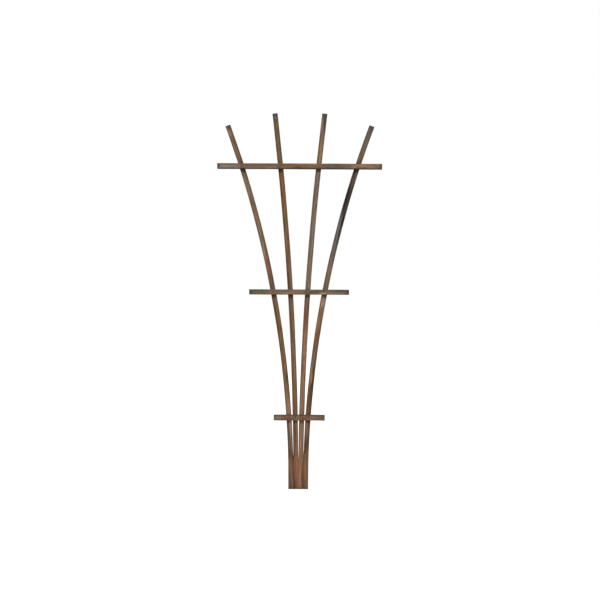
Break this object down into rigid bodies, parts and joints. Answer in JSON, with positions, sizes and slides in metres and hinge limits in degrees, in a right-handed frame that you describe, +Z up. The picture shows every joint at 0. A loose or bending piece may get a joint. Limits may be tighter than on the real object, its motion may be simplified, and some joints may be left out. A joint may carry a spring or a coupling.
{
  "type": "fan trellis",
  "caption": "Tall wooden fan trellis: laths side by side at the foot spread out and up behind level rails, for a climbing plant.",
  "frame": {"origin": "middle of the end of the foot, in the plane where the rails lie on the uprights", "axes": "+Z up the trellis, +X to the right of a viewer who faces the rails, -Y from the uprights towards that viewer"},
  "size_m": [0.799, 0.032, 1.8288],
  "materials": {
    "reddish_brown_wood": "rough sawn softwood, brown stain, a little weathered",
    "golden_brown_wood": "rough sawn softwood, brown stain, a little weathered",
    "mid_brown_wood": "rough sawn softwood, brown stain, a little weathered",
    "dark_brown_wood": "rough sawn softwood, brown stain, a little weathered",
    "rail_brown_wood": "rough sawn softwood, brown stain, a little weathered",
    "rail_grey_brown_wood": "rough sawn softwood, brown stain, a little weathered",
    "rail_warm_brown_wood": "rough sawn softwood, brown stain, a little weathered",
    "zinc_wire": "dull galvanised wire",
    "coated_screw_steel": "brown outdoor coating"
  },
  "bodies": {
    "root": {"left_outer_upright": "reddish_brown_wood", "left_inner_upright": "golden_brown_wood", "right_inner_upright": "mid_brown_wood", "right_outer_upright": "dark_brown_wood", "lower_rail": "rail_brown_wood", "middle_rail": "rail_grey_brown_wood", "top_rail": "rail_warm_brown_wood", "staple_lower_left_outer": "zinc_wire", "staple_lower_left_inner": "zinc_wire", "staple_lower_right_inner": "zinc_wire", "staple_lower_right_outer": "zinc_wire", "staple_middle_left_outer": "zinc_wire", "staple_middle_left_inner": "zinc_wire", "staple_middle_right_inner": "zinc_wire", "staple_middle_right_outer": "zinc_wire", "staple_top_left_outer": "zinc_wire", "staple_top_left_inner": "zinc_wire", "staple_top_right_inner": "zinc_wire", "staple_top_right_outer": "zinc_wire", "foot_screw_lower": "coated_screw_steel", "foot_screw_upper": "coated_screw_steel"}
  },
  "joints": []
}
